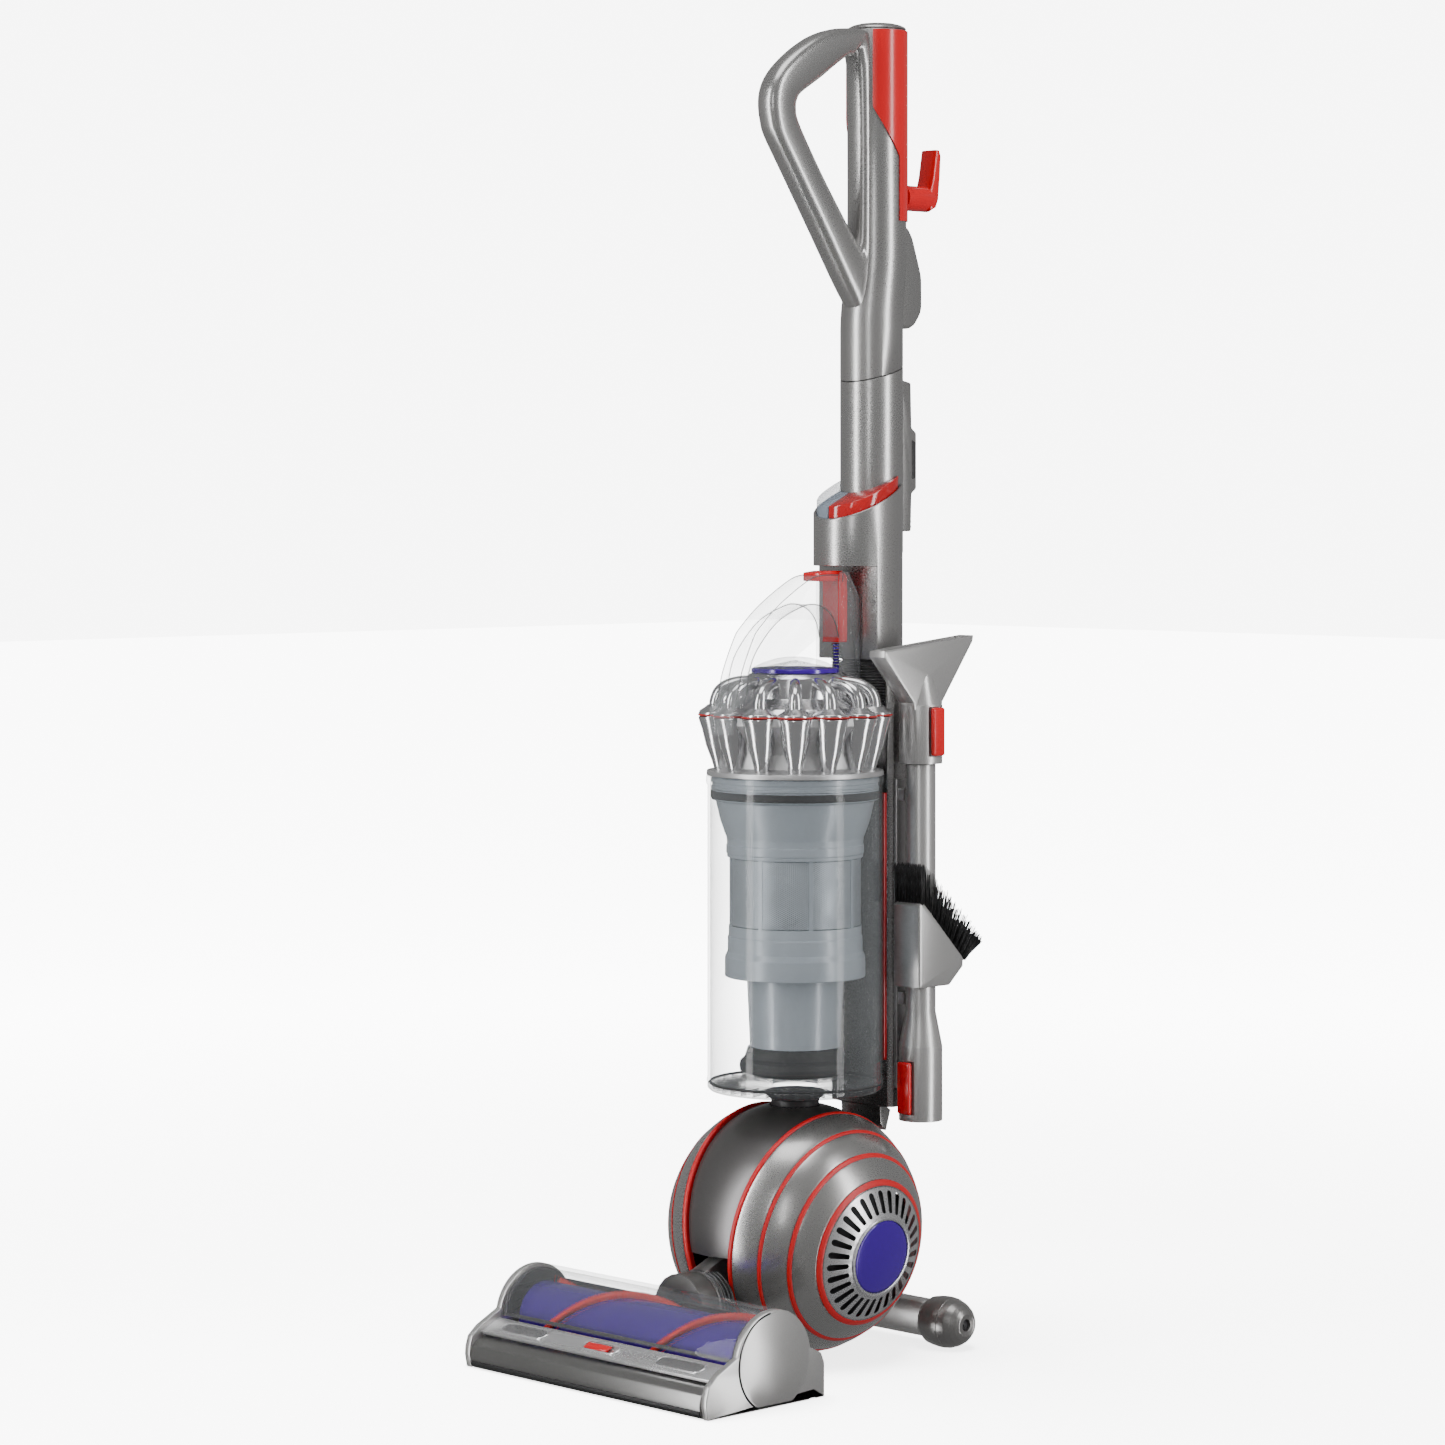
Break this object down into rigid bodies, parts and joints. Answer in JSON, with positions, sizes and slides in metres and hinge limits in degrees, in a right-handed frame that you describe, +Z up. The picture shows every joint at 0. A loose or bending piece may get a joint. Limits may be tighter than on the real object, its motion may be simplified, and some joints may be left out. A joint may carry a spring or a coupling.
{
  "type": "upright vacuum cleaner",
  "caption": "Upright vacuum cleaner: brush head, steering ball with fold-away stand, clear cyclone bin, lift-out wand with loop handle and clip-on tools.",
  "frame": {"origin": "on the floor, under the middle of the whole cleaner", "axes": "+Z up, the floor head faces -Y, +X to the right seen from the front"},
  "size_m": [0.276, 0.394, 1.07],
  "materials": {
    "nickel_plastic": "metallic-flake moulded plastic, satin",
    "iron_plastic": "dark metallic-flake moulded plastic, satin",
    "dark_plastic": "fine-textured black plastic",
    "black_rubber": "matt rubber and black filament",
    "red_plastic": "glossy red plastic",
    "red_bristle": "soft red filament",
    "red_tyre": "smooth soft red tyre",
    "purple_plastic": "glossy purple plastic",
    "clear_plastic": "clear polycarbonate",
    "blue_grey_plastic": "blue-grey plastic and perforated metal",
    "chromed_plastic": "bright metallised plastic",
    "hose_plastic": "ribbed grey hose"
  },
  "bodies": {
    "head": {"head_chassis": "nickel_plastic", "sole_plate": "dark_plastic", "front_bumper": "nickel_plastic", "head_cover": "clear_plastic", "front_strip": "nickel_plastic", "head_end_left": "nickel_plastic", "head_end_right": "nickel_plastic", "brush_motor": "dark_plastic"},
    "brush_bar": {"brush_tube": "purple_plastic", "bristle_strip_1": "red_bristle", "bristle_strip_2": "red_bristle"},
    "suction_control": {"suction_slider": "red_plastic"},
    "yoke": {"yoke_frame": "iron_plastic"},
    "stand": {"stand_frame": "iron_plastic"},
    "stand_wheel_left": {"stand_wheel_left": "iron_plastic"},
    "stand_wheel_right": {"stand_wheel_right": "iron_plastic"},
    "upright": {"motor_drum": "iron_plastic", "motor": "dark_plastic", "exhaust_filter": "purple_plastic", "ball_cover": "iron_plastic", "pedestal": "dark_plastic", "spine": "nickel_plastic", "hose": "hose_plastic", "cord_inlet": "black_rubber", "upper_housing": "nickel_plastic", "tool_holder": "nickel_plastic"},
    "shell_left": {"ball_shell_left": "nickel_plastic", "ball_tyre_left": "red_tyre", "vent_grille_left": "nickel_plastic", "hub_cap_left": "purple_plastic"},
    "shell_right": {"ball_shell_right": "nickel_plastic", "ball_tyre_right": "red_tyre", "vent_grille_right": "nickel_plastic", "hub_cap_right": "purple_plastic"},
    "power_button": {"power_button": "red_plastic"},
    "brush_button": {"brush_button": "clear_plastic"},
    "wand": {"wand_tube": "nickel_plastic", "handle": "nickel_plastic", "grip_shell": "red_plastic", "wand_cap": "nickel_plastic"},
    "cord_hook": {"cord_hook": "red_plastic"},
    "bin": {"bin_wall": "clear_plastic", "shroud_funnel": "blue_grey_plastic", "shroud_mesh": "blue_grey_plastic", "shroud_cone": "blue_grey_plastic", "cyclone_pack": "chromed_plastic", "cyclone_lid": "chromed_plastic", "filter_ring": "purple_plastic", "filter_dome": "clear_plastic", "carry_handle": "clear_plastic"},
    "bin_base": {"bin_base": "clear_plastic"},
    "bin_release": {"release_lever": "red_plastic", "release_rod": "red_plastic"},
    "stair_tool": {"stair_tool": "nickel_plastic"},
    "stair_button": {"stair_button": "red_plastic"},
    "combi_tool": {"combi_nozzle": "nickel_plastic"},
    "combi_button": {"combi_button": "red_plastic"},
    "tool_brush": {"tool_brush": "nickel_plastic", "brush_bristles": "black_rubber"}
  },
  "joints": [
    {"name": "brush_spin", "type": "hinge", "parent": "head", "child": "brush_bar", "pos_m": [0, -0.126, 0.034], "axis": [1, 0, 0], "continuous": true},
    {"name": "suction_slide", "type": "slide", "parent": "head", "child": "suction_control", "axis": [1, 0, 0], "range_m": [0, 0.008]},
    {"name": "head_swivel", "type": "hinge", "parent": "head", "child": "yoke", "pos_m": [0, -0.126, 0.05], "axis": [0, 1, 0], "range_deg": [-20, 20]},
    {"name": "recline", "type": "hinge", "parent": "yoke", "child": "upright", "pos_m": [0, 0.034, 0.10121], "axis": [-1, 0, 0], "range_deg": [0, 50]},
    {"name": "stand_fold", "type": "hinge", "parent": "yoke", "child": "stand", "pos_m": [0, 0.034, 0.10121], "axis": [1, 0, 0], "range_deg": [0, 10]},
    {"name": "stand_wheel_spin_left", "type": "hinge", "parent": "stand", "child": "stand_wheel_left", "pos_m": [-0.077, 0.129, 0.0205], "axis": [1, 0, 0], "continuous": true},
    {"name": "stand_wheel_spin_right", "type": "hinge", "parent": "stand", "child": "stand_wheel_right", "pos_m": [0.077, 0.129, 0.0205], "axis": [1, 0, 0], "continuous": true},
    {"name": "ball_spin_left", "type": "hinge", "parent": "upright", "child": "shell_left", "pos_m": [0, 0.034, 0.10121], "axis": [-0.9893, 0, -0.1461], "continuous": true},
    {"name": "ball_spin_right", "type": "hinge", "parent": "upright", "child": "shell_right", "pos_m": [0, 0.034, 0.10121], "axis": [0.9893, 0, -0.1461], "continuous": true},
    {"name": "power_press", "type": "slide", "parent": "upright", "child": "power_button", "axis": [0, 0, -1], "range_m": [0, 0.003], "stiffness_N_per_m": 400},
    {"name": "brush_press", "type": "slide", "parent": "upright", "child": "brush_button", "axis": [0, 0, -1], "range_m": [0, 0.003], "stiffness_N_per_m": 400},
    {"name": "wand_lift", "type": "slide", "parent": "upright", "child": "wand", "axis": [0, 0, 1], "range_m": [0, 0.2]},
    {"name": "cord_hook_turn", "type": "hinge", "parent": "wand", "child": "cord_hook", "pos_m": [0, 0.1563, 0.929], "axis": [0, 1, 0], "range_deg": [0, 180]},
    {"name": "bin_tilt", "type": "hinge", "parent": "upright", "child": "bin", "pos_m": [0, -0.0362, 0.2125], "axis": [1, 0, 0], "range_deg": [0, 60]},
    {"name": "base_open", "type": "hinge", "parent": "bin", "child": "bin_base", "pos_m": [0, -0.0362, 0.2125], "axis": [-1, 0, 0], "range_deg": [0, 58.5]},
    {"name": "release_press", "type": "slide", "parent": "bin", "child": "bin_release", "axis": [0, 0, -1], "range_m": [0, 0.005], "stiffness_N_per_m": 500},
    {"name": "stair_unclip", "type": "slide", "parent": "upright", "child": "stair_tool", "axis": [1, 0, 0], "range_m": [0, 0.1]},
    {"name": "stair_button_press", "type": "slide", "parent": "stair_tool", "child": "stair_button", "axis": [-1, 0, 0], "range_m": [0, 0.002], "stiffness_N_per_m": 400},
    {"name": "combi_unclip", "type": "slide", "parent": "upright", "child": "combi_tool", "axis": [1, 0, 0], "range_m": [0, 0.1]},
    {"name": "combi_button_press", "type": "slide", "parent": "combi_tool", "child": "combi_button", "axis": [0, 1, 0], "range_m": [0, 0.002], "stiffness_N_per_m": 400},
    {"name": "tool_brush_slide", "type": "slide", "parent": "combi_tool", "child": "tool_brush", "axis": [0, 0, 1], "range_m": [0, 0.045]}
  ],
  "couplings": [
    {"joint": "stand_fold", "follows": "recline", "ratio": 0.2},
    {"joint": "base_open", "follows": "bin_tilt", "ratio": 0.97}
  ]
}
